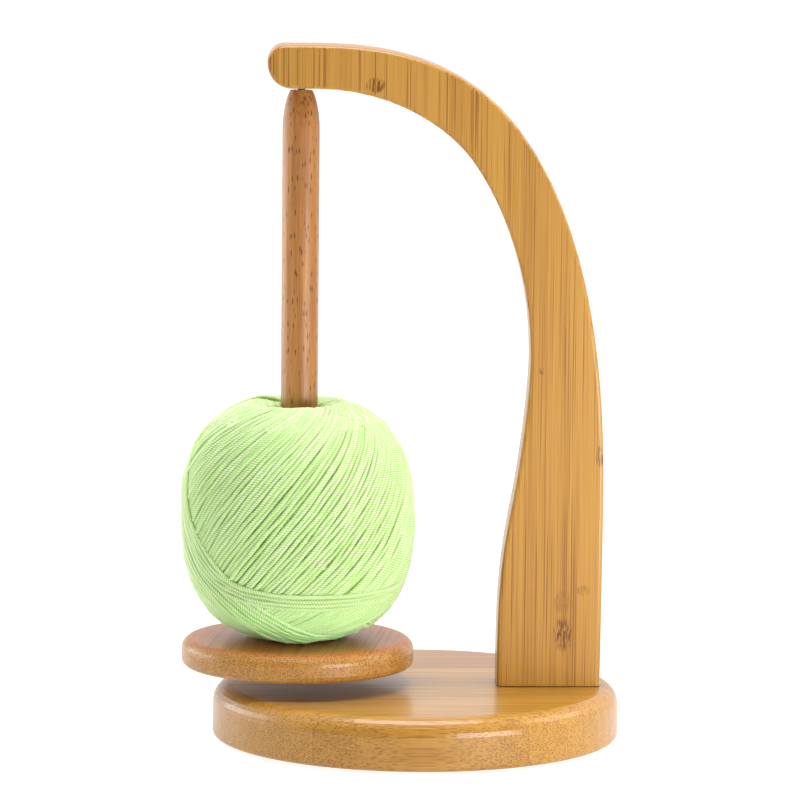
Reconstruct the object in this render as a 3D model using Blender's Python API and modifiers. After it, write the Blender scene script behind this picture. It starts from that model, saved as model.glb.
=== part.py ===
"""Magnetic pendulum yarn holder: a round base, a curved arm, and a spindle with a tray that hangs from
the arm's tip on a steel ball between two magnets and carries a ball of yarn.

+Z is up, +X points to the arm's foot and -Y to the front. The origin is on the table under the middle
of the whole object, from the yarn's outer side to the base's. Every x below counts from the base's
centre, which BASE_X places.
"""
import math

import bmesh
import bpy
from mathutils import Vector

MM = 0.001
GAP = 0.3 * MM                  # clearance between faces that touch on the real object

# Base
BASE_RADIUS = 90 * MM
BASE_THICKNESS = 23 * MM
BASE_TOP_ROUND = 8 * MM
BASE_BOTTOM_ROUND = 2 * MM
PAD_RADIUS = 7 * MM
PAD_THICKNESS = 1.5 * MM
PAD_CHAMFER = 0.4 * MM
PAD_RING_RADIUS = 70 * MM
PAD_ANGLES = (45, 135, 225, 315)

BASE_BOTTOM = PAD_THICKNESS + GAP
BASE_TOP = BASE_BOTTOM + BASE_THICKNESS

# Arm, a board stood on the base
ARM_THICKNESS = 20.5 * MM
ARM_EDGE_ROUND = 1.7 * MM
ARM_BOTTOM = BASE_TOP + GAP
ARM_UNDERSIDE = ARM_BOTTOM + 264.6 * MM     # the level face under the tip
FOOT_LENGTH = 20 * MM                       # extra length below the foot, sawn off square

# Outline of the arm: anchor and its two handles (x, height above the foot), in millimetres
ARM_OUTLINE = (
    ((81.4, -20.0), (81.4, -20.0), (81.4, -20.0)),
    ((82.1, 85.4), (82.1, 60.4), (82.1, 133.0)),
    ((57.5, 223.7), (77.2, 182.8), (31.5, 277.8)),
    ((-46.0, 283.6), (-11.8, 283.6), (-50.0, 283.6)),
    ((-60.0, 283.6), (-56.0, 283.6), (-64.2, 283.6)),
    ((-67.5, 275.6), (-67.5, 280.0), (-67.5, 269.6)),
    ((-57.0, 264.6), (-62.8, 264.6), (-53.5, 264.6)),
    ((-46.0, 264.6), (-49.5, 264.6), (-10.2, 264.6)),
    ((22.5, 233.7), (13.6, 245.8), (31.4, 221.6)),
    ((49.1, 147.1), (49.1, 190.4), (49.1, 129.1)),
    ((42.0, 82.7), (44.8, 97.4), (37.6, 59.7)),
    ((35.7, 11.7), (35.7, 45.8), (35.7, 5.0)),
    ((35.7, -20.0), (35.7, -20.0), (35.7, -20.0)),
)
ARM_CURVE_STEPS = 12

# Two bolts that pull the arm down on the base, through washers into threaded inserts
BOLT_XS = (46.5 * MM, 70.5 * MM)
BOLT_RADIUS = 2.5 * MM
BOLT_LENGTH = 32 * MM
BOLT_HEAD_RADIUS = 4.25 * MM
BOLT_HEAD_HEIGHT = 5 * MM
BOLT_CHAMFER = 0.4 * MM
HEX_KEY_RADIUS = 2.3 * MM
HEX_KEY_DEPTH = 2.5 * MM
BOLT_HOLE_RADIUS = 2.9 * MM
COUNTERBORE_RADIUS = 7 * MM
COUNTERBORE_DEPTH = 8 * MM
WASHER_RADIUS = 6 * MM
WASHER_THICKNESS = 1 * MM
INSERT_RADIUS = 4 * MM
INSERT_LENGTH = 16 * MM
INSERT_BORE_RADIUS = BOLT_RADIUS + GAP
INSERT_RECESS = 0.5 * MM
INSERT_POCKET_DEPTH = 18 * MM

# Bearing under the arm's tip: magnet, steel ball, magnet
SPINDLE_X = -52.5 * MM
ARM_MAGNET_RADIUS = 5 * MM
ARM_MAGNET_THICKNESS = 5 * MM
PIVOT_BALL_RADIUS = 2.5 * MM
SPINDLE_MAGNET_RADIUS = 3 * MM
SPINDLE_MAGNET_THICKNESS = 3 * MM
PIVOT_Z = ARM_UNDERSIDE - PIVOT_BALL_RADIUS

# Spindle and tray, hung from the pivot
SPINDLE_RADIUS = 8.2 * MM
SPINDLE_TOP_GAP = 1.3 * MM      # from the arm's underside to the spindle's end
SPINDLE_NOSE_CORE = 2 * MM      # radius that the rounded nose would close down to
SPINDLE_NOSE_LENGTH = 20.5 * MM
SPINDLE_NOSE_CUT = 18.1 * MM    # how much of the nose's curve is left below the bored end
SPINDLE_SOCKET_DEPTH = 3 * MM
TRAY_RADIUS = 51.5 * MM
TRAY_THICKNESS = 12.5 * MM
TRAY_TOP_ROUND = 5 * MM
TRAY_BOTTOM_ROUND = 3 * MM
TRAY_LIFT = 8 * MM              # free height between the base and the tray

TRAY_BOTTOM = BASE_TOP + TRAY_LIFT
TRAY_TOP = TRAY_BOTTOM + TRAY_THICKNESS
SPINDLE_BOTTOM = TRAY_TOP - SPINDLE_SOCKET_DEPTH + GAP
SPINDLE_TOP = ARM_UNDERSIDE - SPINDLE_TOP_GAP

TRAY_SCREW_RADIUS = 2 * MM
TRAY_SCREW_HEAD_RADIUS = 4 * MM
TRAY_SCREW_HEAD_HEIGHT = 2.4 * MM
TRAY_SCREW_LENGTH = 32 * MM
TRAY_SCREW_RECESS = 0.6 * MM
CROSS_SLOT_LENGTH = 4 * MM
CROSS_SLOT_WIDTH = 0.9 * MM
CROSS_SLOT_DEPTH = 1.4 * MM

# Ball of yarn, wound round a hole that the spindle fills
YARN_RADIUS = 51.8 * MM
YARN_HALF_HEIGHT = 55 * MM      # of the full round, which the tray flattens below
YARN_CENTRE_HEIGHT = 53 * MM    # above the tray
YARN_SQUARENESS = 2.5           # exponent of its superellipse profile
YARN_HOLE_RADIUS = 8.9 * MM
YARN_DIMPLE_RADIUS = 15 * MM
YARN_DIMPLE_DEPTH = 4 * MM

# The base's centre, so that the yarn and the base reach equally far from the origin
BASE_X = (YARN_RADIUS - SPINDLE_X - BASE_RADIUS) / 2

PALE_BAMBOO = (0.62, 0.38, 0.15, 1.0)
BEECH = (0.52, 0.31, 0.16, 1.0)
STEEL = (0.55, 0.55, 0.56, 1.0)
BRASS = (0.62, 0.45, 0.18, 1.0)
RUBBER = (0.03, 0.03, 0.03, 1.0)
YARN_GREEN = (0.38, 0.78, 0.25, 1.0)


def clear_scene():
    for thing in list(bpy.data.objects):
        bpy.data.objects.remove(thing, do_unlink=True)


def new_collection(name):
    collection = bpy.data.collections.new(name)
    bpy.context.scene.collection.children.link(collection)
    return collection


def put_in(collection, thing):
    """Moves a thing into a collection, and hangs it on the base's centre unless it has a parent."""
    for former in list(thing.users_collection):
        former.objects.unlink(thing)
    collection.objects.link(thing)
    if thing.parent is None:
        thing.parent = base_centre


def give_material(thing, colour, roughness, metallic=0.0):
    material = bpy.data.materials.new(thing.name)
    material.use_nodes = True
    shader = material.node_tree.nodes["Principled BSDF"]
    shader.inputs["Base Color"].default_value = colour
    shader.inputs["Roughness"].default_value = roughness
    shader.inputs["Metallic"].default_value = metallic
    thing.data.materials.clear()
    thing.data.materials.append(material)


def arc(centre_r, centre_z, radius, start, end, steps):
    """Points (r, z) on an arc, from start to end in degrees, where 0 points outward and 90 up."""
    points = []
    for step in range(steps + 1):
        angle = math.radians(start + (end - start) * step / steps)
        points.append((centre_r + radius * math.cos(angle), centre_z + radius * math.sin(angle)))
    return points


def turned(name, profile, steps, ring=False):
    """A turned piece. The profile runs down its outer side, and a ring's goes up again inside."""
    mesh = bpy.data.meshes.new(name)
    edges = [(i, i + 1) for i in range(len(profile) - 1)]
    if ring:
        edges.append((len(profile) - 1, 0))
    mesh.from_pydata([(r, 0, z) for r, z in profile], edges, [])
    piece = bpy.data.objects.new(name, mesh)
    bpy.context.scene.collection.objects.link(piece)
    screw = piece.modifiers.new("Turn", "SCREW")
    screw.axis = "Z"
    screw.steps = steps
    screw.render_steps = steps
    screw.use_merge_vertices = True
    screw.merge_threshold = 0.00001
    screw.use_smooth_shade = True
    return piece


def cylinder_cutter(name, radius, bottom, top, x=0.0, y=0.0, sides=48):
    bpy.ops.mesh.primitive_cylinder_add(vertices=sides, radius=radius, depth=top - bottom,
                                        location=(x, y, (bottom + top) / 2))
    cutter = bpy.context.object
    cutter.name = name
    return cutter


def box_cutter(name, low, high):
    low = Vector(low)
    high = Vector(high)
    bpy.ops.mesh.primitive_cube_add(size=1, location=(low + high) / 2)
    cutter = bpy.context.object
    cutter.name = name
    cutter.scale = high - low
    return cutter


def cut(piece, cutter):
    put_in(cutters, cutter)
    cutter.hide_render = True
    cutter.display_type = "WIRE"
    boolean = piece.modifiers.new("Cut " + cutter.name, "BOOLEAN")
    boolean.operation = "DIFFERENCE"
    boolean.solver = "EXACT"
    boolean.object = cutter


def rounded_disc_profile(radius, thickness, top_round, bottom_round):
    """Half section of a disc with quarter-round edges, from the middle of its top face down."""
    top = arc(radius - top_round, thickness - top_round, top_round, 90, 0, 6)
    bottom = arc(radius - bottom_round, bottom_round, bottom_round, 0, -90, 3)
    return [(0, thickness)] + top + bottom + [(0, 0)]


def make_base():
    profile = rounded_disc_profile(BASE_RADIUS, BASE_THICKNESS, BASE_TOP_ROUND, BASE_BOTTOM_ROUND)
    base = turned("base_disc", profile, 112)
    base.location.z = BASE_BOTTOM
    ceiling = BASE_BOTTOM + COUNTERBORE_DEPTH
    for number, x in enumerate(BOLT_XS, 1):
        cut(base, cylinder_cutter(f"counterbore_{number}", COUNTERBORE_RADIUS,
                                  BASE_BOTTOM - MM, ceiling, x, sides=32))
        cut(base, cylinder_cutter(f"bolt_hole_{number}", BOLT_HOLE_RADIUS,
                                  ceiling - MM, BASE_TOP + MM, x, sides=24))
    put_in(holder, base)
    give_material(base, PALE_BAMBOO, 0.3)


def make_foot_pads():
    for number, angle in enumerate(PAD_ANGLES, 1):
        turn = math.radians(angle)
        profile = [(0, PAD_THICKNESS), (PAD_RADIUS, PAD_THICKNESS), (PAD_RADIUS, PAD_CHAMFER),
                   (PAD_RADIUS - PAD_CHAMFER, 0), (0, 0)]
        pad = turned(f"foot_pad_{number}", profile, 32)
        pad.location = (PAD_RING_RADIUS * math.cos(turn), PAD_RING_RADIUS * math.sin(turn), 0)
        put_in(holder, pad)
        give_material(pad, RUBBER, 0.8)


def arm_outline_curve():
    curve = bpy.data.curves.new("arm_outline", "CURVE")
    curve.dimensions = "2D"
    curve.fill_mode = "BOTH"
    curve.extrude = ARM_THICKNESS / 2
    curve.resolution_u = ARM_CURVE_STEPS
    spline = curve.splines.new("BEZIER")
    spline.bezier_points.add(len(ARM_OUTLINE) - 1)
    spline.use_cyclic_u = True
    for point, (anchor, before, after) in zip(spline.bezier_points, ARM_OUTLINE):
        point.handle_left_type = "FREE"
        point.handle_right_type = "FREE"
        point.co = (anchor[0] * MM, anchor[1] * MM, 0)
        point.handle_left = (before[0] * MM, before[1] * MM, 0)
        point.handle_right = (after[0] * MM, after[1] * MM, 0)
    outline = bpy.data.objects.new("arm_outline", curve)
    bpy.context.scene.collection.objects.link(outline)
    outline.location.z = ARM_BOTTOM
    outline.rotation_euler.x = math.radians(90)
    return outline


def mesh_from_curve(outline, name):
    bpy.context.view_layer.update()
    evaluated = outline.evaluated_get(bpy.context.evaluated_depsgraph_get())
    mesh = bpy.data.meshes.new_from_object(evaluated)
    mesh.name = name
    welded = bmesh.new()
    welded.from_mesh(mesh)
    bmesh.ops.remove_doubles(welded, verts=welded.verts, dist=0.00001)
    bmesh.ops.dissolve_limit(welded, angle_limit=math.radians(0.1), verts=welded.verts, edges=welded.edges)
    bmesh.ops.recalc_face_normals(welded, faces=welded.faces)
    welded.to_mesh(mesh)
    welded.free()
    piece = bpy.data.objects.new(name, mesh)
    piece.matrix_world = outline.matrix_world
    bpy.data.objects.remove(outline, do_unlink=True)
    return piece


def make_arm():
    arm = mesh_from_curve(arm_outline_curve(), "arm")
    put_in(holder, arm)
    bevel = arm.modifiers.new("Eased edges", "BEVEL")
    bevel.width = ARM_EDGE_ROUND
    bevel.segments = 3
    bevel.limit_method = "ANGLE"
    bevel.angle_limit = math.radians(50)
    foot_reach = 100 * MM
    cut(arm, box_cutter("foot_saw", (0, -foot_reach, ARM_BOTTOM - 2 * FOOT_LENGTH),
                        (foot_reach, foot_reach, ARM_BOTTOM)))
    pocket_radius = INSERT_RADIUS + GAP
    for number, x in enumerate(BOLT_XS, 1):
        cut(arm, cylinder_cutter(f"insert_pocket_{number}", pocket_radius, ARM_BOTTOM - MM,
                                 ARM_BOTTOM + INSERT_POCKET_DEPTH, x, sides=24))
    pocket_top = ARM_UNDERSIDE + ARM_MAGNET_THICKNESS + 2 * GAP
    cut(arm, cylinder_cutter("magnet_pocket", ARM_MAGNET_RADIUS + GAP, ARM_UNDERSIDE - MM, pocket_top,
                             SPINDLE_X, sides=32))
    arm.data.shade_smooth()
    arm.data.set_sharp_from_angle(angle=math.radians(35))
    give_material(arm, PALE_BAMBOO, 0.35)


def make_arm_fasteners():
    ceiling = BASE_BOTTOM + COUNTERBORE_DEPTH
    washer_bottom = ceiling - GAP - WASHER_THICKNESS
    head_top = washer_bottom - GAP
    head_bottom = head_top - BOLT_HEAD_HEIGHT
    bolt_profile = [(0, BOLT_LENGTH), (BOLT_RADIUS - BOLT_CHAMFER, BOLT_LENGTH),
                    (BOLT_RADIUS, BOLT_LENGTH - BOLT_CHAMFER), (BOLT_RADIUS, 0),
                    (BOLT_HEAD_RADIUS, 0), (BOLT_HEAD_RADIUS, BOLT_CHAMFER - BOLT_HEAD_HEIGHT),
                    (BOLT_HEAD_RADIUS - BOLT_CHAMFER, -BOLT_HEAD_HEIGHT), (0, -BOLT_HEAD_HEIGHT)]
    washer_profile = [(BOLT_HOLE_RADIUS, WASHER_THICKNESS), (WASHER_RADIUS, WASHER_THICKNESS),
                      (WASHER_RADIUS, 0), (BOLT_HOLE_RADIUS, 0)]
    insert_profile = [(INSERT_BORE_RADIUS, INSERT_LENGTH), (INSERT_RADIUS, INSERT_LENGTH),
                      (INSERT_RADIUS, 0), (INSERT_BORE_RADIUS, 0)]
    for number, x in enumerate(BOLT_XS, 1):
        bolt = turned(f"arm_bolt_{number}", bolt_profile, 24)
        bolt.location = (x, 0, head_top)
        cut(bolt, cylinder_cutter(f"hex_key_{number}", HEX_KEY_RADIUS, head_bottom - MM,
                                  head_bottom + HEX_KEY_DEPTH, x, sides=6))
        washer = turned(f"arm_washer_{number}", washer_profile, 32, ring=True)
        washer.location = (x, 0, washer_bottom)
        insert = turned(f"arm_insert_{number}", insert_profile, 24, ring=True)
        insert.location = (x, 0, ARM_BOTTOM + INSERT_RECESS)
        for piece, colour in ((bolt, STEEL), (washer, STEEL), (insert, BRASS)):
            put_in(holder, piece)
            give_material(piece, colour, 0.35, 1.0)


def make_arm_magnet():
    profile = [(0, ARM_MAGNET_THICKNESS), (ARM_MAGNET_RADIUS, ARM_MAGNET_THICKNESS),
               (ARM_MAGNET_RADIUS, 0), (0, 0)]
    magnet = turned("arm_magnet", profile, 32)
    magnet.location = (SPINDLE_X, 0, ARM_UNDERSIDE + GAP)
    put_in(holder, magnet)
    give_material(magnet, STEEL, 0.2, 1.0)


def hang(piece, z, colour, roughness, metallic=0.0):
    """Puts a piece of the pendulum at height z on the spindle's axis, hung from the pivot."""
    piece.parent = pivot
    piece.location = (0, 0, z - PIVOT_Z)
    put_in(holder, piece)
    give_material(piece, colour, roughness, metallic)


def make_pivot_ball():
    bpy.ops.mesh.primitive_uv_sphere_add(segments=20, ring_count=12, radius=PIVOT_BALL_RADIUS)
    ball = bpy.context.object
    ball.name = "pivot_ball"
    ball.data.shade_smooth()
    hang(ball, PIVOT_Z, STEEL, 0.15, 1.0)


def make_spindle_magnet():
    profile = [(0, 0), (SPINDLE_MAGNET_RADIUS, 0),
               (SPINDLE_MAGNET_RADIUS, -SPINDLE_MAGNET_THICKNESS), (0, -SPINDLE_MAGNET_THICKNESS)]
    magnet = turned("spindle_magnet", profile, 24)
    hang(magnet, PIVOT_Z - PIVOT_BALL_RADIUS - GAP, STEEL, 0.2, 1.0)


def spindle_nose():
    """The rounded nose, from the bored end down to the full radius."""
    bulge = SPINDLE_RADIUS - SPINDLE_NOSE_CORE
    points = []
    steps = 9
    for step in range(steps + 1):
        height = SPINDLE_NOSE_CUT * math.sin(math.radians(90) * (1 - step / steps))
        radius = SPINDLE_NOSE_CORE + bulge * math.sqrt(1 - (height / SPINDLE_NOSE_LENGTH) ** 2)
        points.append((radius, SPINDLE_TOP - SPINDLE_NOSE_CUT + height - SPINDLE_BOTTOM))
    return points


def make_spindle():
    chamfer = 0.5 * MM
    profile = ([(0, SPINDLE_TOP - SPINDLE_BOTTOM)] + spindle_nose()
               + [(SPINDLE_RADIUS, chamfer), (SPINDLE_RADIUS - chamfer, 0), (0, 0)])
    spindle = turned("spindle", profile, 48)
    hang(spindle, SPINDLE_BOTTOM, BEECH, 0.4)
    pocket_bottom = PIVOT_Z - PIVOT_BALL_RADIUS - SPINDLE_MAGNET_THICKNESS - 2 * GAP
    cut(spindle, cylinder_cutter("bearing_pocket", SPINDLE_MAGNET_RADIUS + GAP, pocket_bottom,
                                 SPINDLE_TOP + MM, SPINDLE_X, sides=24))
    screw_tip = TRAY_BOTTOM + TRAY_SCREW_RECESS + TRAY_SCREW_LENGTH
    cut(spindle, cylinder_cutter("pilot_hole", TRAY_SCREW_RADIUS + GAP, SPINDLE_BOTTOM - MM,
                                 screw_tip + MM, SPINDLE_X, sides=24))


def make_tray():
    profile = rounded_disc_profile(TRAY_RADIUS, TRAY_THICKNESS, TRAY_TOP_ROUND, TRAY_BOTTOM_ROUND)
    tray = turned("tray", profile, 96)
    hang(tray, TRAY_BOTTOM, PALE_BAMBOO, 0.3)
    cut(tray, cylinder_cutter("spindle_socket", SPINDLE_RADIUS + GAP, TRAY_TOP - SPINDLE_SOCKET_DEPTH,
                              TRAY_TOP + MM, SPINDLE_X, sides=48))
    cut(tray, cylinder_cutter("screw_hole", TRAY_SCREW_RADIUS + GAP, TRAY_BOTTOM - MM,
                              TRAY_TOP - SPINDLE_SOCKET_DEPTH + MM, SPINDLE_X, sides=24))
    mouth = TRAY_SCREW_HEAD_RADIUS + 2 * GAP
    mouth_top = TRAY_BOTTOM + TRAY_SCREW_RECESS
    depth = TRAY_SCREW_HEAD_HEIGHT + GAP
    cut(tray, cylinder_cutter("countersink_mouth", mouth, TRAY_BOTTOM - MM, mouth_top, SPINDLE_X,
                              sides=32))
    bpy.ops.mesh.primitive_cone_add(vertices=32, radius1=mouth, radius2=TRAY_SCREW_RADIUS + GAP,
                                    depth=depth, location=(SPINDLE_X, 0, mouth_top + depth / 2))
    countersink = bpy.context.object
    countersink.name = "countersink"
    cut(tray, countersink)


def make_tray_screw():
    tip = 4 * MM
    profile = [(0, TRAY_SCREW_LENGTH), (TRAY_SCREW_RADIUS, TRAY_SCREW_LENGTH - tip),
               (TRAY_SCREW_RADIUS, TRAY_SCREW_HEAD_HEIGHT), (TRAY_SCREW_HEAD_RADIUS, GAP),
               (TRAY_SCREW_HEAD_RADIUS, 0), (0, 0)]
    screw = turned("tray_screw", profile, 24)
    bottom = TRAY_BOTTOM + TRAY_SCREW_RECESS
    hang(screw, bottom, STEEL, 0.35, 1.0)
    long = CROSS_SLOT_LENGTH / 2
    wide = CROSS_SLOT_WIDTH / 2
    for number, (half_x, half_y) in enumerate(((long, wide), (wide, long)), 1):
        cut(screw, box_cutter(f"cross_slot_{number}", (SPINDLE_X - half_x, -half_y, bottom - MM),
                              (SPINDLE_X + half_x, half_y, bottom + CROSS_SLOT_DEPTH)))


def yarn_outer_radius(height):
    """Radius of the ball at a height above the tray: a superellipse."""
    rise = abs(height - YARN_CENTRE_HEIGHT) / YARN_HALF_HEIGHT
    return YARN_RADIUS * (1 - rise ** YARN_SQUARENESS) ** (1 / YARN_SQUARENESS)


def make_yarn_ball():
    low = GAP
    high = YARN_CENTRE_HEIGHT + YARN_HALF_HEIGHT
    shoulder = high - 1.5 * MM
    profile = [(YARN_HOLE_RADIUS, high - YARN_DIMPLE_DEPTH), (YARN_DIMPLE_RADIUS, high - MM)]
    steps = 22
    for step in range(steps + 1):
        swing = math.cos(math.pi * step / steps)
        height = (shoulder + low) / 2 + (shoulder - low) / 2 * swing
        profile.append((yarn_outer_radius(height), height))
    profile.append((YARN_HOLE_RADIUS, low))
    ball = turned("yarn_ball", profile, 56, ring=True)
    hang(ball, TRAY_TOP, YARN_GREEN, 0.9)


clear_scene()
holder = new_collection("yarn_holder")
cutters = new_collection("cutters")
base_centre = bpy.data.objects.new("base_centre", None)
base_centre.location.x = BASE_X
holder.objects.link(base_centre)
pivot = bpy.data.objects.new("pendulum_pivot", None)
pivot.location = (SPINDLE_X, 0, PIVOT_Z)
put_in(holder, pivot)

make_base()
make_foot_pads()
make_arm()
make_arm_fasteners()
make_arm_magnet()
make_pivot_ball()
make_spindle_magnet()
make_spindle()
make_tray()
make_tray_screw()
make_yarn_ball()
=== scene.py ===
"""Looks for a magnetic pendulum yarn holder: bamboo base, arm and tray, a beech spindle, and a ball of
green plied yarn wound strand by strand. Lengths are in metres, and in millimetres inside the materials.
"""
import math

import bpy
import numpy as np
from mathutils import Matrix, Vector


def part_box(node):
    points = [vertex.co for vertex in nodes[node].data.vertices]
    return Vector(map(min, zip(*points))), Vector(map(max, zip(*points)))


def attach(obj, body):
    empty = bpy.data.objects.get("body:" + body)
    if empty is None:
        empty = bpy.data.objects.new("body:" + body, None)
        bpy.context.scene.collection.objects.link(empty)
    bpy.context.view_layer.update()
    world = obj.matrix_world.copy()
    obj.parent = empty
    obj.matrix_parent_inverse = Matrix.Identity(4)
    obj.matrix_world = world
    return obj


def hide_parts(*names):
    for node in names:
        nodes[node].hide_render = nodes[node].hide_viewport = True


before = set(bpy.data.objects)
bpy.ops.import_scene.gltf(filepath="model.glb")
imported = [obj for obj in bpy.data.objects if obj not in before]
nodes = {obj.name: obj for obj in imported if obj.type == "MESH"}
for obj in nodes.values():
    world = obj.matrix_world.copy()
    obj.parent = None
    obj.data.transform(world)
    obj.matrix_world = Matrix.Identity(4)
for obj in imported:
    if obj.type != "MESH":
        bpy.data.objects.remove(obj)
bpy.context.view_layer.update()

MM = 0.001

# Camera: a long lens, a little left of the front and a little above
CAMERA_DISTANCE = 2.59
CAMERA_AZIMUTH = -1.86
CAMERA_HEIGHT = 0.507
CAMERA_ROLL = 0.536
CAMERA_LENS = 266.2
CAMERA_SENSOR = 36.0
CAMERA_TARGET = Vector((-0.00085, 0, 0.15145))

# Ball of yarn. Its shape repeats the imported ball's: a superellipse round the spindle's axis
SQUARENESS = 2.5
HOLE_CLEARANCE = 0.8 * MM
BALL_HALF_HEIGHT = 0.5155       # of the full round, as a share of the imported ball's height
BALL_MIDDLE = 0.494             # height of its widest place, as a share of the same
STRAND_RADIUS = 1.22 * MM       # to the crest of a ply
VALLEY_RADIUS = 0.88 * MM       # to the groove between two plies
PLIES = 3
STRAND_SIDES = 2 * PLIES        # a crest and a groove for each ply
PLY_SPACING = 1.25 * MM         # from one ply's crest to the next, along the strand
STRAND_STEP = PLY_SPACING / 3   # from one ring of the tube to the next
SIDE_STRAY = 0.06               # how far strands stray to the sides, as a share of the loops' step
DEPTH_STRAY = 0.1               # how far they stray in depth, in strand radii
STRAY_WAVES = (4, 10, 17)       # least number of waves of it in one turn
LOOP_POINTS = 2400              # places worked out along a loop
WINDING_SEED = 7

# The winding's last layer: loops that lean over and step round the axis, one strand further each time
LOOP_STEP = math.radians(3)
LOOPS = 120
LAST_LOOP = math.radians(22)    # where the last loop climbs over the equator, from +X
TOP_REACH = math.radians(73)    # highest latitude of a loop
TOP_LIMIT = math.radians(77)    # at the hole's mouth
TOP_DRIFT = math.radians(2)     # how far TOP_REACH wavers round the ball
TOP_DRIFT_WAVES = 7
TOP_SPREAD = math.radians(0.8)
BOTTOM_REACH = math.radians(55)
BOTTOM_SPREAD = math.radians(0.8)
LEAN = math.radians(41)         # 0 follows a great circle's slope, more stands the strands up
TUCK = math.radians(5)          # how far a strand takes to dive under the later ones
LAYER_PARTS = 8                 # pieces that the layer is split into
LAYER_DEPTH = 2.1               # depth of the strands under the last ones, in strand radii
START_SPREAD = 0.08             # unevenness of the step, as a share of it
DEPTH_SPREAD = 0.2              # unevenness of the depth, in strand radii

# The strands wound on last, in two bands that part at the lower left
BAND_FAN = math.radians(2.2)    # how much lower each one turns than the next
BAND_DIVE = 0.35                # how much of their turn, in radians, the ends take to dive under
BAND_START = 0.3 * math.pi      # the turn at which they begin
BAND_LOW = 1.5 * math.pi        # the turn at which a loop is lowest
# How many, the step between them, where the first one climbs, lowest latitude of the last one, lean, how
# far past BAND_LOW they end, and depth in strand radii. Angles are in degrees, but the end is in radians
BANDS = (
    (7, 4, 0.2, 57, 10, 0.3, 0.55),
    (4, 2.9, 15.5, 30, 56, 0.75, 0.2),
)

# The older strands that show round the hole
COLLAR_LOOPS = 84
COLLAR_REACH = math.radians(79)
COLLAR_REACH_SPREAD = 2.5       # in degrees
COLLAR_LEAN = math.radians(55)
COLLAR_EDGE = math.radians(50)  # latitude below which the last layer hides them
COLLAR_DEPTH = 1.9 * MM
COLLAR_DEPTH_SPREAD = 0.3       # in strand radii
COLLAR_START_SPREAD = 0.02      # in radians

# The older strands that show round the foot
FOOT_RINGS = 9
FOOT_TOP = math.radians(-48)
FOOT_BOTTOM = math.radians(-68)
FOOT_WAVE = math.radians(1.5)   # how far a ring rises and falls
FOOT_DEPTH = 1.5                # in strand radii
FOOT_POINTS = 1200              # places worked out along a ring

LIP_WIDTH = 14 * MM             # the dimple round the hole
LIP_DROP = 5.5 * MM
WALL_WIDTH = 5.5 * MM           # the steep part of it
WALL_DROP = 9 * MM
HOLE_SHIFT = np.array((-1.5, 0)) * MM   # of the dimple's middle from the spindle's
SHADE_DEPTH = 1.6 * MM          # how much deeper a strand lies when it is fully in the others' shade

# The plain body under the strands
CORE_DEPTH = 3.2 * MM
CORE_EDGE = 78                  # latitude of its ends, in degrees
CORE_RINGS = 60
CORE_SIDES = 96

# Yarn: its crests, and its grooves in painted shade, each high up and low down on the ball; low down
# they are painted greener, and the grooves lighter, where less light falls. The core's two tones are
# painted shade for the strands under the last ones
GREEN_LIT = (0.82, 0.95, 0.60, 1.0)
GREEN_LIT_LOW = (0.71, 1.0, 0.51, 1.0)
GREEN_PAINTED_SHADE = (0.34, 0.64, 0.08, 1.0)
GREEN_PAINTED_SHADE_LOW = (0.36, 0.92, 0.18, 1.0)
YARN_SHADE_LEVELS = (46, 72)    # heights between which low gives way to high, in millimetres
CORE_DARK = (0.36, 0.72, 0.10, 1.0)
CORE_LIGHT = (0.50, 0.85, 0.18, 1.0)

# Wood
BAMBOO_LIGHT = (0.47, 0.235, 0.038, 1.0)
BASE_LIGHT = (0.43, 0.215, 0.032, 1.0)
TRAY_LIGHT = (0.45, 0.22, 0.042, 1.0)
BAMBOO_DARK = (0.25, 0.098, 0.010, 1.0)
BAMBOO_SEAM = (0.16, 0.055, 0.006, 1.0)
TRAY_TOP_PAINTED_SHADE = (1.12, 0.66, 0.52, 1.0)    # painted warm shade on the tray's top, less green where it faces up
ARM_TOP_PAINTED_SHADE = (0.74, 0.68, 0.72, 1.0)     # painted shade on the arm's top, where it faces up
BEECH_LIGHT = (0.47, 0.205, 0.050, 1.0)
BEECH_DARK = (0.26, 0.092, 0.018, 1.0)
BEECH_FLECK = (0.09, 0.028, 0.005, 1.0)

STEEL = (0.62, 0.62, 0.63, 1.0)
NICKEL = (0.70, 0.68, 0.64, 1.0)
BRASS = (0.78, 0.57, 0.25, 1.0)
RUBBER_DARK = (0.03, 0.028, 0.026, 1.0)
RUBBER_LIGHT = (0.055, 0.05, 0.046, 1.0)
TABLE_DARK = (0.26, 0.26, 0.26, 1.0)
TABLE_LIGHT = (0.28, 0.28, 0.28, 1.0)
TABLE_GLOW = 0.88

# Node marks on the arm's front: height over its foot, distance from its outer side, half length, half
# width and strength
ARM_MARKS = (
    (23.5 * MM, 17.6 * MM, 9.5 * MM, 5.0 * MM, 1.0),
    (37.5 * MM, 17.6 * MM, 7.0 * MM, 4.5 * MM, 0.4),
    (43.0 * MM, 8.6 * MM, 3.0 * MM, 3.5 * MM, 0.5),
    (103.0 * MM, 1.6 * MM, 6.0 * MM, 2.6 * MM, 0.9),
    (141.0 * MM, 28.1 * MM, 2.0 * MM, 1.2 * MM, 0.8),
    (266.5 * MM, 102.4 * MM, 4.0 * MM, 5.5 * MM, 1.0),
)
MARK_DEPTH = 4 * MM

# Lamps: name, place, size and power
LAMPS = (
    ("key", (0.30, -0.41, 0.045), (0.3, 0.22), 2.55),
    ("overhead", (0, -0.1, 1.6), (1.0, 1.0), 27),
    ("right", (1.3, 0.2, 0.9), (0.8, 0.8), 6),
    ("left", (-0.8, 0.35, 0.2), (0.7, 0.38), 2.8),
)
LAMP_TARGET = Vector((0, 0, 0.15))
SKY_FRONT = 0.14                # the world's strength in front of the object
SKY_BACK = 1.1                  # and behind it
SKY_EDGES = (-0.45, -0.12)      # the directions' Y between which one gives way to the other


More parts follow.
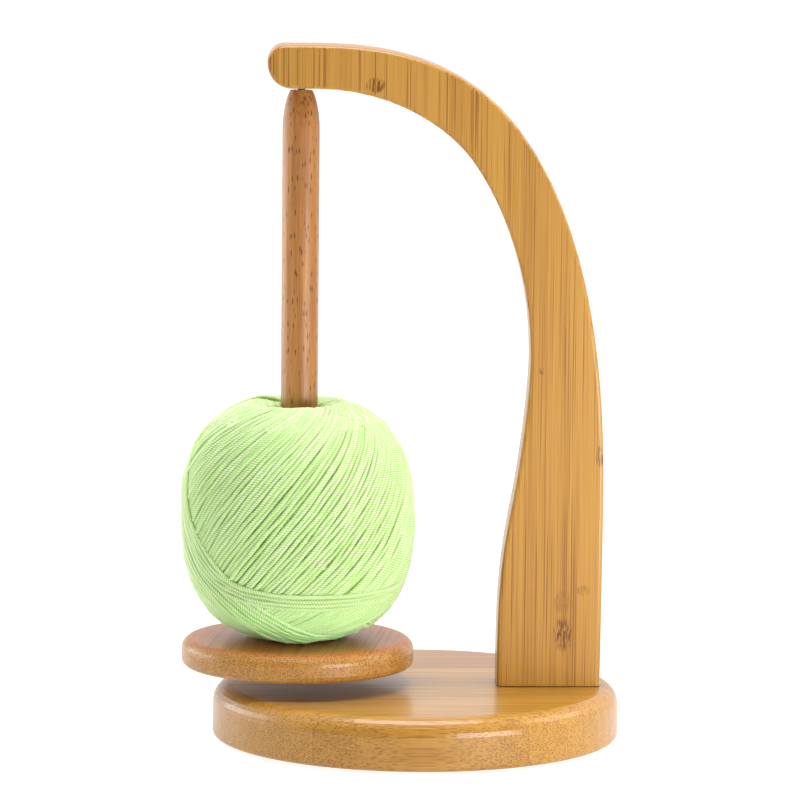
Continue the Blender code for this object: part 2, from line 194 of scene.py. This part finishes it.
def look_at(target, origin, roll):
    """Rotation of a camera at origin that faces target, rolled so that its right side rises."""
    back = (origin - target).normalized()
    turn = back.to_track_quat("Z", "Y")
    return turn @ Matrix.Rotation(math.radians(roll), 4, "Z").to_quaternion()


def make_camera():
    azimuth = math.radians(CAMERA_AZIMUTH)
    data = bpy.data.cameras.new("camera")
    data.lens = CAMERA_LENS
    data.sensor_width = CAMERA_SENSOR
    data.clip_start = 0.1
    data.clip_end = 50
    camera = bpy.data.objects.new("camera", data)
    camera.location = (CAMERA_DISTANCE * math.sin(azimuth), -CAMERA_DISTANCE * math.cos(azimuth),
                       CAMERA_HEIGHT)
    camera.rotation_mode = "QUATERNION"
    camera.rotation_quaternion = look_at(CAMERA_TARGET, camera.location, CAMERA_ROLL)
    bpy.context.scene.collection.objects.link(camera)
    bpy.context.scene.camera = camera


# Node trees ------------------------------------------------------------------------------------

def new_material(name):
    material = bpy.data.materials.new(name)
    material.use_nodes = True
    return material, material.node_tree, material.node_tree.nodes["Principled BSDF"]


def add(tree, kind, inputs=None, **settings):
    """Adds a node. Each input is a value or another node's output."""
    made = tree.nodes.new("ShaderNode" + kind)
    for name, value in settings.items():
        setattr(made, name, value)
    for name, value in (inputs or {}).items():
        if isinstance(value, bpy.types.NodeSocket):
            tree.links.new(value, made.inputs[name])
        else:
            made.inputs[name].default_value = value
    return made


def calculate(tree, operation, first, second=0.0, third=0.0):
    return add(tree, "Math", {0: first, 1: second, 2: third}, operation=operation).outputs[0]


def scaled(tree, vector, scale):
    return add(tree, "VectorMath", {0: vector, 1: scale}, operation="MULTIPLY").outputs[0]


def sized(tree, grain, along, across, through=None):
    """Coordinates for a pattern with features of about these sizes, in millimetres."""
    return scaled(tree, grain, (1 / along, 1 / across, 1 / (through or across)))


def noise(tree, vector, detail=2.0, roughness=0.5, distortion=0.0):
    return add(tree, "TexNoise", {"Vector": vector, "Scale": 1.0, "Detail": detail,
                                  "Roughness": roughness, "Distortion": distortion}).outputs["Fac"]


def between(tree, value, low, high, to_low=0.0, to_high=1.0):
    """The value's smooth rise from to_low at low to to_high at high."""
    made = add(tree, "MapRange", {"Value": value, "From Min": low, "From Max": high,
                                  "To Min": to_low, "To Max": to_high}, interpolation_type="SMOOTHSTEP")
    return made.outputs["Result"]


def mix(tree, factor, first, second, blend="MIX"):
    made = tree.nodes.new("ShaderNodeMix")
    made.data_type = "RGBA"
    made.blend_type = blend
    for socket, value in ((made.inputs[0], factor), (made.inputs[6], first), (made.inputs[7], second)):
        if isinstance(value, bpy.types.NodeSocket):
            tree.links.new(value, socket)
        else:
            socket.default_value = value
    return made.outputs[2]


def bump(tree, height, strength, distance):
    return add(tree, "Bump", {"Height": height, "Strength": strength, "Distance": distance}).outputs[0]


def connect(tree, shader, colour=None, roughness=None, normal=None):
    for name, value in (("Base Color", colour), ("Roughness", roughness), ("Normal", normal)):
        if value is not None:
            tree.links.new(value, shader.inputs[name])


# Materials -------------------------------------------------------------------------------------

def grain_axes(tree, along, turn=0.0):
    """Position in millimetres, turned so that X runs along the grain, Y across it and Z through it."""
    position = add(tree, "TexCoord").outputs["Object"]
    turned = add(tree, "VectorRotate", {"Vector": position, "Angle": math.radians(turn)},
                 rotation_type="Z_AXIS").outputs[0]
    parts = add(tree, "SeparateXYZ", {0: scaled(tree, turned, (1000, 1000, 1000))}).outputs
    order = {"X": (0, 1, 2), "Y": (1, 0, 2), "Z": (2, 0, 1)}[along]
    return add(tree, "CombineXYZ", {i: parts[part] for i, part in enumerate(order)}).outputs[0]


def strips(tree, grain, width, offset):
    """(random tone, edge line) of the strips that the board is glued up from, side by side along Y."""
    across = add(tree, "SeparateXYZ", {0: grain}).outputs["Y"]
    place = calculate(tree, "DIVIDE", calculate(tree, "ADD", across, offset), width)
    number = calculate(tree, "FLOOR", place)
    tone = add(tree, "TexWhiteNoise", {"W": number}, noise_dimensions="1D").outputs["Value"]
    inside = calculate(tree, "FRACT", place)
    from_edge = calculate(tree, "MINIMUM", inside, calculate(tree, "SUBTRACT", 1.0, inside))
    line = between(tree, from_edge, 0.0, 0.25 / width, 1.0, 0.0)
    return tone, line


def node_mark(tree, grain, mark):
    """Short dark dashes inside an oval, where a culm's node was. The mark gives the oval's middle along,
    across and through the grain, its half sizes in the same order, and its strength."""
    middle, half_sizes, strength = mark
    offset = add(tree, "VectorMath", {0: grain, 1: middle}, operation="SUBTRACT").outputs[0]
    flat = sized(tree, offset, *half_sizes)
    distance = add(tree, "VectorMath", {0: flat}, operation="LENGTH").outputs["Value"]
    inside = between(tree, distance, 0.55, 1.0, strength, 0.0)
    dashes = noise(tree, sized(tree, grain, 4, 0.5, 3), 1.0)
    dashes = between(tree, dashes, 0.42, 0.56, 0.1, 1.0)
    return calculate(tree, "MULTIPLY", inside, dashes)


def bamboo(name, along, strip_width, strip_offset=0.0, turn=0.0, marks=(), light=BAMBOO_LIGHT,
           top=None, contrast=1.0, coat=0.4, specular=0.25, uneven=0.4):
    """Strips of varnished bamboo, as wide as strip_width in millimetres. The dark bundles of fibre are
    lines along the grain and dots on its end. Top tints what faces up with painted shade, and evens out
    its grain there. Contrast strengthens the bundles, and uneven sets the strips' tones apart."""
    material, tree, shader = new_material(name)
    grain = grain_axes(tree, along, turn)
    tone, line = strips(tree, grain, strip_width, strip_offset)
    broad = noise(tree, sized(tree, grain, 120, 4), 3.0)
    fine = noise(tree, sized(tree, grain, 120, 0.6), 3.0, 0.7)
    patch = noise(tree, sized(tree, grain, 60, 12), 1.0)
    bundle = add(tree, "TexVoronoi", {"Vector": sized(tree, grain, 110, 0.72),
                                      "Scale": 1.0, "Randomness": 0.75}, feature="F1")
    core = between(tree, bundle.outputs["Distance"], 0.22, 0.46, 1.0, 0.0)
    chance = add(tree, "SeparateColor", {0: bundle.outputs["Color"]}).outputs[0]
    spots = calculate(tree, "MULTIPLY", core, between(tree, chance, 0.0, 0.8, 0.4, 1.0))
    spots = calculate(tree, "MULTIPLY", spots, between(tree, patch, 0.35, 0.62, 0.45, 1.0))
    shade = calculate(tree, "MULTIPLY", between(tree, fine, 0.3, 0.7), 0.5)
    shade = calculate(tree, "MULTIPLY_ADD", spots, 1.3 * contrast, shade)
    shade = calculate(tree, "MULTIPLY_ADD", between(tree, broad, 0.3, 0.7), 0.3, shade)
    shade = calculate(tree, "MULTIPLY_ADD", tone, uneven, shade)
    shade = calculate(tree, "SUBTRACT", shade, 0.4)
    if top:
        facing = add(tree, "SeparateXYZ", {0: add(tree, "TexCoord").outputs["Normal"]}).outputs["Z"]
        upward = between(tree, facing, 0.6, 0.98)
        shade = calculate(tree, "MULTIPLY", shade, between(tree, upward, 0.0, 1.0, 1.0, 0.4))
    colour = mix(tree, shade, light, BAMBOO_DARK)
    colour = mix(tree, calculate(tree, "MULTIPLY", line, 0.3), colour, BAMBOO_SEAM)
    # painted shade: what faces up is tinted by top
    if top:
        colour = mix(tree, upward, colour, top, "MULTIPLY")
    for mark in marks:
        colour = mix(tree, node_mark(tree, grain, mark), colour, BAMBOO_SEAM)
    connect(tree, shader, colour, between(tree, fine, 0.2, 0.8, 0.3, 0.42),
            bump(tree, fine, 0.1, 0.2 * MM))
    shader.inputs["Specular IOR Level"].default_value = specular
    shader.inputs["Coat Weight"].default_value = coat
    shader.inputs["Coat Roughness"].default_value = 0.13
    return material


def beech(name):
    """Oiled beech: broad bands of tone, and the short dark flecks of its rays."""
    material, tree, shader = new_material(name)
    grain = grain_axes(tree, "Z")
    broad = noise(tree, sized(tree, grain, 90, 3.5), 3.0)
    fine = noise(tree, sized(tree, grain, 14, 0.5), 3.0, 0.6)
    fleck = add(tree, "TexVoronoi", {"Vector": sized(tree, grain, 5.5, 1.3),
                                     "Scale": 1.0, "Randomness": 1.0}, feature="F1")
    core = between(tree, fleck.outputs["Distance"], 0.16, 0.36, 1.0, 0.0)
    chance = add(tree, "SeparateColor", {0: fleck.outputs["Color"]}).outputs[0]
    flecks = calculate(tree, "MULTIPLY", core, between(tree, chance, 0.25, 0.6))
    shade = calculate(tree, "MULTIPLY_ADD", between(tree, broad, 0.35, 0.65), 0.55,
                      calculate(tree, "MULTIPLY", between(tree, fine, 0.3, 0.7), 0.4))
    colour = mix(tree, shade, BEECH_LIGHT, BEECH_DARK)
    colour = mix(tree, calculate(tree, "MULTIPLY", flecks, 0.85), colour, BEECH_FLECK)
    connect(tree, shader, colour, between(tree, fine, 0.2, 0.8, 0.34, 0.48),
            bump(tree, fine, 0.15, 0.2 * MM))
    shader.inputs["Specular IOR Level"].default_value = 0.15
    shader.inputs["Coat Weight"].default_value = 0.5
    shader.inputs["Coat Roughness"].default_value = 0.35
    return material


def metal(name, colour, roughness):
    """Plated or bright metal with a little unevenness in its polish."""
    material, tree, shader = new_material(name)
    grain = grain_axes(tree, "X")
    cloud = noise(tree, sized(tree, grain, 1.5, 1.5), 4.0, 0.6)
    darker = tuple(0.8 * part for part in colour[:3]) + (1.0,)
    connect(tree, shader, mix(tree, cloud, darker, colour),
            between(tree, cloud, 0.3, 0.7, roughness - 0.05, roughness + 0.1))
    shader.inputs["Metallic"].default_value = 1.0
    return material


def rubber(name):
    material, tree, shader = new_material(name)
    grain = grain_axes(tree, "X")
    cloud = noise(tree, sized(tree, grain, 0.8, 0.8), 4.0, 0.6)
    connect(tree, shader, mix(tree, cloud, RUBBER_DARK, RUBBER_LIGHT),
            between(tree, cloud, 0.3, 0.7, 0.65, 0.85), bump(tree, cloud, 0.3, 0.2 * MM))
    return material


def yarn_material(name):
    """Plied yarn. The UV map counts ply crests along the strand in X, and turns round it in Y, where the
    outward side is a quarter turn."""
    material, tree, shader = new_material(name)
    place = add(tree, "SeparateXYZ", {0: add(tree, "UVMap", uv_map="strand").outputs[0]}).outputs
    phase = calculate(tree, "MULTIPLY_ADD", place["Y"], float(PLIES), place["X"])
    wave = calculate(tree, "SINE", calculate(tree, "MULTIPLY", phase, math.pi))
    crest = calculate(tree, "ABSOLUTE", wave)
    outward = calculate(tree, "SINE", calculate(tree, "MULTIPLY", place["Y"], 2 * math.pi))
    grain = grain_axes(tree, "X")
    fibre = noise(tree, sized(tree, grain, 0.45, 0.45), 3.0, 0.7)
    patch = noise(tree, sized(tree, grain, 9, 9), 2.0)
    strand = add(tree, "Attribute", attribute_name="tone").outputs["Fac"]
    painted_shade = add(tree, "Attribute", attribute_name="painted_shade").outputs["Fac"]
    # Painted shade: darker in the grooves between plies, on the strands' sides, and where a strand lies
    # deep or on the hole's wall; patches, fibres and strands' tones vary at random
    light = calculate(tree, "MULTIPLY", between(tree, crest, 0.0, 0.95, 0.0, 1.0),
                      between(tree, outward, 0.0, 0.6, 0.6, 1.0))
    light = calculate(tree, "MULTIPLY", light, between(tree, painted_shade, 0.0, 1.0, 1.0, 0.5))
    light = calculate(tree, "MULTIPLY", light, between(tree, patch, 0.25, 0.75, 0.85, 1.0))
    light = calculate(tree, "MULTIPLY", light, between(tree, fibre, 0.3, 0.6, 0.8, 1.0))
    light = calculate(tree, "MULTIPLY", light, between(tree, strand, 0.0, 1.0, 0.85, 1.0))
    # Painted light by height: low down on the ball, where less light falls, the colours are greener and
    # the grooves lighter
    level = add(tree, "SeparateXYZ", {0: grain}).outputs["Z"]
    painted_light_blend = between(tree, level, *YARN_SHADE_LEVELS)
    lit = mix(tree, painted_light_blend, GREEN_LIT_LOW, GREEN_LIT)
    shaded = mix(tree, painted_light_blend, GREEN_PAINTED_SHADE_LOW, GREEN_PAINTED_SHADE)
    connect(tree, shader, mix(tree, light, shaded, lit), None, bump(tree, fibre, 0.8, 0.4 * MM))
    shader.inputs["Roughness"].default_value = 0.85
    shader.inputs["Sheen Weight"].default_value = 0.24
    shader.inputs["Sheen Roughness"].default_value = 0.4
    return material


def core_material(name):
    """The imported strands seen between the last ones, in their shade."""
    material, tree, shader = new_material(name)
    grain = grain_axes(tree, "Z")
    thread = noise(tree, sized(tree, grain, 6, 0.8), 2.0)
    connect(tree, shader, mix(tree, thread, CORE_DARK, CORE_LIGHT), None,
            bump(tree, thread, 0.6, 0.6 * MM))
    shader.inputs["Roughness"].default_value = 0.9
    return material


def floor_material(name):
    """A white table that is lit from below."""
    material, tree, shader = new_material(name)
    grain = grain_axes(tree, "X")
    cloud = noise(tree, sized(tree, grain, 60, 60), 3.0)
    connect(tree, shader, mix(tree, cloud, TABLE_DARK, TABLE_LIGHT))
    shader.inputs["Roughness"].default_value = 0.9
    shader.inputs["Emission Color"].default_value = (1, 1, 1, 1)
    shader.inputs["Emission Strength"].default_value = TABLE_GLOW
    return material


# Yarn ------------------------------------------------------------------------------------------

class Ball:
    """The outer surface of the yarn ball, by longitude and latitude about its middle."""

    def __init__(self):
        low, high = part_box("yarn_ball")
        self.radius = (high.x - low.x) / 2
        self.x = (high.x + low.x) / 2
        self.y = (high.y + low.y) / 2
        self.half_height = (high.z - low.z) * BALL_HALF_HEIGHT
        self.middle = low.z + (high.z - low.z) * BALL_MIDDLE
        self.rest = low.z
        spindle_low, spindle_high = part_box("spindle")
        self.hole = (spindle_high.x - spindle_low.x) / 2 + HOLE_CLEARANCE

    def meridian(self, latitude):
        """Radius and height over the middle at a latitude."""
        flat = np.abs(np.cos(latitude)) / self.radius
        tall = np.abs(np.sin(latitude)) / self.half_height
        reach = (flat ** SQUARENESS + tall ** SQUARENESS) ** (-1 / SQUARENESS)
        return reach * np.cos(latitude), reach * np.sin(latitude)

    def dimple(self, radial, up):
        """How far the top sinks in at places about the axis: (all of it, its steep part)."""
        out = np.linalg.norm(radial - HOLE_SHIFT, axis=1) - self.hole
        wall = WALL_DROP * (1 - smooth_steps(out / WALL_WIDTH))
        lip = LIP_DROP * (1 - smooth_steps(out / LIP_WIDTH))
        return np.where(up > 0, lip + wall, 0), np.where(up > 0, wall, 0)

    def at(self, longitude, latitude, depth):
        """Points under the surface by depth, the outward normals there, and the painted shade there,
        from 0 to 1: it grows with depth under the other strands and on the hole's steep wall."""
        out, up = self.meridian(latitude)
        slope_out = (np.abs(out) / self.radius) ** (SQUARENESS - 1) / self.radius
        slope_up = np.sign(up) * (np.abs(up) / self.half_height) ** (SQUARENESS - 1) / self.half_height
        length = np.hypot(slope_out, slope_up)
        slope_out = slope_out / length
        slope_up = slope_up / length
        side = np.stack([np.cos(longitude), np.sin(longitude)], 1)
        radial = (out - depth * slope_out)[:, None] * side
        dimple, wall = self.dimple(radial, up)
        height = np.maximum(up - depth * slope_up + self.middle - dimple, self.rest + STRAND_RADIUS)
        points = np.column_stack([radial + (self.x, self.y), height])
        normals = np.column_stack([slope_out[:, None] * side, slope_up])
        return points, normals, smooth_steps((depth - STRAND_RADIUS + wall) / SHADE_DEPTH)


def smooth_steps(values):
    """0 below 0, 1 above 1 and a smooth rise between."""
    held = np.clip(values, 0, 1)
    return held * held * (3 - 2 * held)


class Strands:
    """Collects strands and turns them into one mesh of tubes, shaped as plies twisted together."""

    def __init__(self):
        self.count = 0
        self.points = []
        self.faces = []
        self.uvs = []
        self.tones = []
        self.shades = []

    def add(self, points, normals, painted_shade, tone):
        """Adds a tube along the points. Its tone also sets where its plies start."""
        along = np.gradient(points, axis=0)
        along /= np.linalg.norm(along, axis=1)[:, None]
        across = np.cross(along, normals)
        across /= np.linalg.norm(across, axis=1)[:, None]
        out = np.cross(across, along)
        steps = np.linalg.norm(np.diff(points, axis=0), axis=1)
        travel = np.concatenate([[0], np.cumsum(steps)])[:, None] / PLY_SPACING + PLIES * tone
        side = np.arange(STRAND_SIDES)[None, :]
        turn = (side / 2 - travel) / PLIES
        radius = np.where(side % 2, STRAND_RADIUS, VALLEY_RADIUS)
        rings = (points[:, None, :]
                 + (radius * np.cos(2 * np.pi * turn))[:, :, None] * across[:, None, :]
                 + (radius * np.sin(2 * np.pi * turn))[:, :, None] * out[:, None, :])
        first = self.count
        count = len(points)
        self.count += rings.shape[0] * STRAND_SIDES
        ring = np.arange(count - 1)[:, None]
        following = (side + 1) % STRAND_SIDES
        here = first + ring * STRAND_SIDES
        self.faces.append(np.stack([here + side, here + following, here + STRAND_SIDES + following,
                                    here + STRAND_SIDES + side], -1).reshape(-1, 4))
        one_side = 1 / STRAND_SIDES
        crests = np.broadcast_to(travel, turn.shape)
        now, later = crests[:-1], crests[1:]
        self.uvs.append(np.stack([now, turn[:-1], now, turn[:-1] + one_side, later, turn[1:] + one_side,
                                  later, turn[1:]], -1).reshape(-1, 2))
        self.points.append(rings.reshape(-1, 3))
        self.tones.append(np.full(count * STRAND_SIDES, tone))
        # the painted shade of each point, for every side of its ring
        self.shades.append(np.repeat(painted_shade, STRAND_SIDES))

    def build(self, name, material):
        mesh = bpy.data.meshes.new(name)
        faces = np.concatenate(self.faces)
        mesh.from_pydata(np.concatenate(self.points).tolist(), [], faces.tolist())
        layer = mesh.uv_layers.new(name="strand")
        layer.data.foreach_set("uv", np.concatenate(self.uvs).astype(np.float32).ravel())
        # the strands' random tone and their painted shade, for the yarn's colour
        for attribute, values in (("tone", self.tones), ("painted_shade", self.shades)):
            made = mesh.attributes.new(attribute, "FLOAT", "POINT")
            made.data.foreach_set("value", np.concatenate(values).astype(np.float32))
        mesh.shade_smooth()
        piece = bpy.data.objects.new(name, mesh)
        bpy.context.scene.collection.objects.link(piece)
        piece.data.materials.append(material)
        return piece


def loop_path(top_reach, bottom_reach, lean, first=-np.pi / 2, last=1.5 * np.pi):
    """Turn, longitude and latitude along a leaning loop. It climbs over the equator at turn 0, where its
    longitude is 0, and is lowest a quarter turn before."""
    turn = np.linspace(first, last, LOOP_POINTS)
    reach = (top_reach + bottom_reach) / 2 + (top_reach - bottom_reach) / 2 * np.sin(turn)
    latitude = np.arcsin(np.sin(reach) * np.sin(turn))
    longitude = np.unwrap(np.arctan2(np.cos(lean) * np.sin(turn), np.cos(turn)))
    return turn, longitude, latitude


def spaced(points, step):
    """Indices of points that lie about a step apart along the path."""
    travel = np.concatenate([[0], np.cumsum(np.linalg.norm(np.diff(points, axis=0), axis=1))])
    count = max(3, int(round(travel[-1] / step)) + 1)
    return np.unique(np.searchsorted(travel, np.linspace(0, travel[-1], count)).clip(0, len(points) - 1))


def runs(keep):
    """(start, end) of each stretch where keep is true."""
    edges = np.flatnonzero(np.diff(np.concatenate([[False], keep, [False]]).astype(int)))
    return list(zip(edges[::2], edges[1::2]))


def stray(turn, chance):
    """An uneven wave along a loop, about 1 high."""
    return sum(np.sin(turn * chance.integers(wave, wave + 3) + chance.uniform(0, 2 * np.pi))
               for wave in STRAY_WAVES)


def wind(strands, ball, start, turn, longitude, latitude, depth, chance, visible=None):
    """Adds one loop, or its visible stretches. It strays a little to the sides and in depth."""
    if visible is None:
        visible = np.ones(len(turn), bool)
    shift = SIDE_STRAY * LOOP_STEP * stray(turn, chance)
    depth = depth + DEPTH_STRAY * STRAND_RADIUS * stray(turn, chance)
    # the last value is the painted shade at each point
    points, normals, painted_shade = ball.at(start + longitude + shift, latitude, depth)
    tone = chance.uniform()
    for first, end in runs(visible):
        chosen = first + spaced(points[first:end], STRAND_STEP)
        if len(chosen) > 3:
            strands.add(points[chosen], normals[chosen], painted_shade[chosen], tone)


def wind_last_layer(ball, chance, loops):
    """Some of the loops. Each is in sight until a later one crosses over it, and goes on underneath."""
    strands = Strands()
    for loop in loops:
        age = (LOOPS - 1 - loop) * LOOP_STEP
        drift = TOP_DRIFT * math.sin(TOP_DRIFT_WAVES * age)
        top = min(TOP_REACH + drift + TOP_SPREAD * chance.normal(), TOP_LIMIT)
        bottom = BOTTOM_REACH + BOTTOM_SPREAD * chance.normal()
        turn, longitude, latitude = loop_path(top, bottom, LEAN)
        climbing = longitude - np.where(turn < np.pi / 2, 0, np.pi)
        in_sight = (np.pi + 2 * climbing - age) / TUCK
        under = 1 - smooth_steps(in_sight)
        deeper = DEPTH_SPREAD * abs(chance.normal())
        depth = STRAND_RADIUS * (1 + (LAYER_DEPTH - 1) * under + deeper)
        start = LAST_LOOP - age + START_SPREAD * LOOP_STEP * chance.normal()
        wind(strands, ball, start, turn, longitude, latitude, depth, chance)
    return strands


def wind_bands(ball, chance):
    """The last strands of all, which dive under soon after their lowest point."""
    strands = Strands()
    for loops, step, first, reach, lean, past, lift in BANDS:
        step, first, reach, lean = map(math.radians, (step, first, reach, lean))
        for loop in range(loops):
            lowest = reach + BAND_FAN * (loops - 1 - loop)
            turn, longitude, latitude = loop_path(TOP_REACH, lowest, lean, BAND_START,
                                                  BAND_LOW + past)
            under = np.maximum(smooth_steps(1 - (turn - turn[0]) / BAND_DIVE),
                               smooth_steps(1 - (turn[-1] - turn) / BAND_DIVE))
            depth = STRAND_RADIUS * (lift + LAYER_DEPTH * under)
            wind(strands, ball, first + loop * step, turn, longitude, latitude, depth, chance)
    return strands


def wind_collars(ball, chance):
    """Older strands that turn closer to the hole."""
    strands = Strands()
    for loop in range(COLLAR_LOOPS):
        reach = COLLAR_REACH - math.radians(abs(chance.normal(0, COLLAR_REACH_SPREAD)))
        turn, longitude, latitude = loop_path(reach, reach, COLLAR_LEAN)
        deeper = COLLAR_DEPTH_SPREAD * STRAND_RADIUS * chance.normal()
        depth = np.full(len(turn), COLLAR_DEPTH + deeper)
        start = 2 * np.pi * loop / COLLAR_LOOPS + COLLAR_START_SPREAD * chance.normal()
        wind(strands, ball, start, turn, longitude, latitude, depth, chance,
             latitude > COLLAR_EDGE)
    return strands


def wind_foot(ball, chance):
    """Flat rings round the ball's foot."""
    strands = Strands()
    turn = np.linspace(0, 2 * np.pi, FOOT_POINTS)
    for ring in range(FOOT_RINGS):
        middle = FOOT_TOP + (FOOT_BOTTOM - FOOT_TOP) * ring / (FOOT_RINGS - 1)
        latitude = middle + FOOT_WAVE * np.sin(turn + chance.uniform(0, 2 * np.pi))
        depth = np.full(len(turn), FOOT_DEPTH * STRAND_RADIUS)
        wind(strands, ball, 0, turn, turn, latitude, depth, chance)
    return strands


def make_core(ball, material):
    """What is left of the ball under the strands in sight: a round body with the spindle's hole."""
    latitude = np.radians(np.linspace(CORE_EDGE, -CORE_EDGE, CORE_RINGS))
    points = ball.at(np.full(CORE_RINGS, np.pi), latitude, np.full(CORE_RINGS, CORE_DEPTH))[0]
    profile = [(ball.x - x, z) for x, _, z in points]
    profile = [(ball.hole, profile[0][1])] + profile + [(ball.hole, profile[-1][1])]
    vertices = []
    for turn in np.arange(CORE_SIDES) / CORE_SIDES * 2 * np.pi:
        vertices += [(ball.x + r * math.cos(turn), ball.y + r * math.sin(turn), z) for r, z in profile]
    count = len(profile)
    faces = []
    for side in range(CORE_SIDES):
        here = side * count
        there = (side + 1) % CORE_SIDES * count
        for i in range(count):
            j = (i + 1) % count
            faces.append((here + i, here + j, there + j, there + i))
    mesh = bpy.data.meshes.new("yarn_core")
    mesh.from_pydata(vertices, [], faces)
    mesh.shade_smooth()
    core = bpy.data.objects.new("yarn_core", mesh)
    bpy.context.scene.collection.objects.link(core)
    core.data.materials.append(material)
    return core


ball = Ball()
chance = np.random.default_rng(WINDING_SEED)
make_camera()

yarn = yarn_material("yarn")
pieces = [make_core(ball, core_material("yarn_core")),
          wind_collars(ball, chance).build("yarn_collars", yarn),
          wind_foot(ball, chance).build("yarn_foot", yarn),
          wind_bands(ball, chance).build("yarn_bands", yarn)]
for part, loops in enumerate(np.array_split(np.arange(LOOPS), LAYER_PARTS)):
    pieces.append(wind_last_layer(ball, chance, loops).build(f"yarn_layer_{part + 1}", yarn))
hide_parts("yarn_ball")
for piece in pieces:
    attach(piece, "yarn")


def finish_with(material, *names):
    """Gives the CAD's own nodes a material."""
    for name in names:
        slots = nodes[name].data.materials
        slots.clear()
        slots.append(material)


base_wood = bamboo("bamboo_base", "X", 22.3, 10.0, light=BASE_LIGHT, contrast=1.5, coat=0.3,
                   specular=0.35, uneven=0.95)
arm_low, arm_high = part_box("arm")
arm_marks = [(((arm_low.z + height) / MM, (arm_high.x - inward) / MM, arm_low.y / MM),
              (length / MM, width / MM, MARK_DEPTH / MM), strength)
             for height, inward, length, width, strength in ARM_MARKS]
arm_wood = bamboo("bamboo_arm", "Z", 9.0, marks=arm_marks, top=ARM_TOP_PAINTED_SHADE, contrast=0.8, coat=0.2,
                  uneven=0.25)
tray_wood = bamboo("bamboo_tray", "Y", 20.0, turn=8.0, light=TRAY_LIGHT, top=TRAY_TOP_PAINTED_SHADE, contrast=2.5,
                   coat=0.12, specular=0.4, uneven=0.6)
finish_with(base_wood, "base_disc")
finish_with(arm_wood, "arm")
finish_with(tray_wood, "tray")
finish_with(beech("beech"), "spindle")
finish_with(metal("steel", STEEL, roughness=0.25), "arm_bolt_1", "arm_bolt_2", "arm_washer_1",
            "arm_washer_2", "tray_screw", "pivot_ball")
finish_with(metal("nickel", NICKEL, roughness=0.18), "arm_magnet", "spindle_magnet")
finish_with(metal("brass", BRASS, roughness=0.3), "arm_insert_1", "arm_insert_2")
finish_with(rubber("rubber"), "foot_pad_1", "foot_pad_2", "foot_pad_3", "foot_pad_4")

floor_mesh = bpy.data.meshes.new("floor")
floor_mesh.from_pydata([(-6, -6, 0), (6, -6, 0), (6, 10, 0), (-6, 10, 0)], [], [(0, 1, 2, 3)])
floor = bpy.data.objects.new("floor", floor_mesh)
bpy.context.scene.collection.objects.link(floor)
floor.data.materials.append(floor_material("floor"))


def area_light(name, position, size, power):
    data = bpy.data.lights.new(name, "AREA")
    data.shape = "RECTANGLE"
    data.size = size[0]
    data.size_y = size[1]
    data.energy = power
    light = bpy.data.objects.new(name, data)
    light.location = position
    back = (Vector(position) - LAMP_TARGET).normalized()
    light.rotation_mode = "QUATERNION"
    light.rotation_quaternion = back.to_track_quat("Z", "Y")
    bpy.context.scene.collection.objects.link(light)


for lamp in LAMPS:
    area_light(*lamp)

world = bpy.data.worlds.new("world")
bpy.context.scene.world = world
world.use_nodes = True
background = world.node_tree.nodes["Background"]
direction = add(world.node_tree, "SeparateXYZ",
                {0: add(world.node_tree, "TexCoord").outputs["Generated"]}).outputs["Y"]
world.node_tree.links.new(between(world.node_tree, direction, *SKY_EDGES, SKY_FRONT, SKY_BACK),
                          background.inputs["Strength"])
background.inputs["Color"].default_value = (1, 1, 1, 1)
bpy.context.scene.view_settings.view_transform = "Standard"
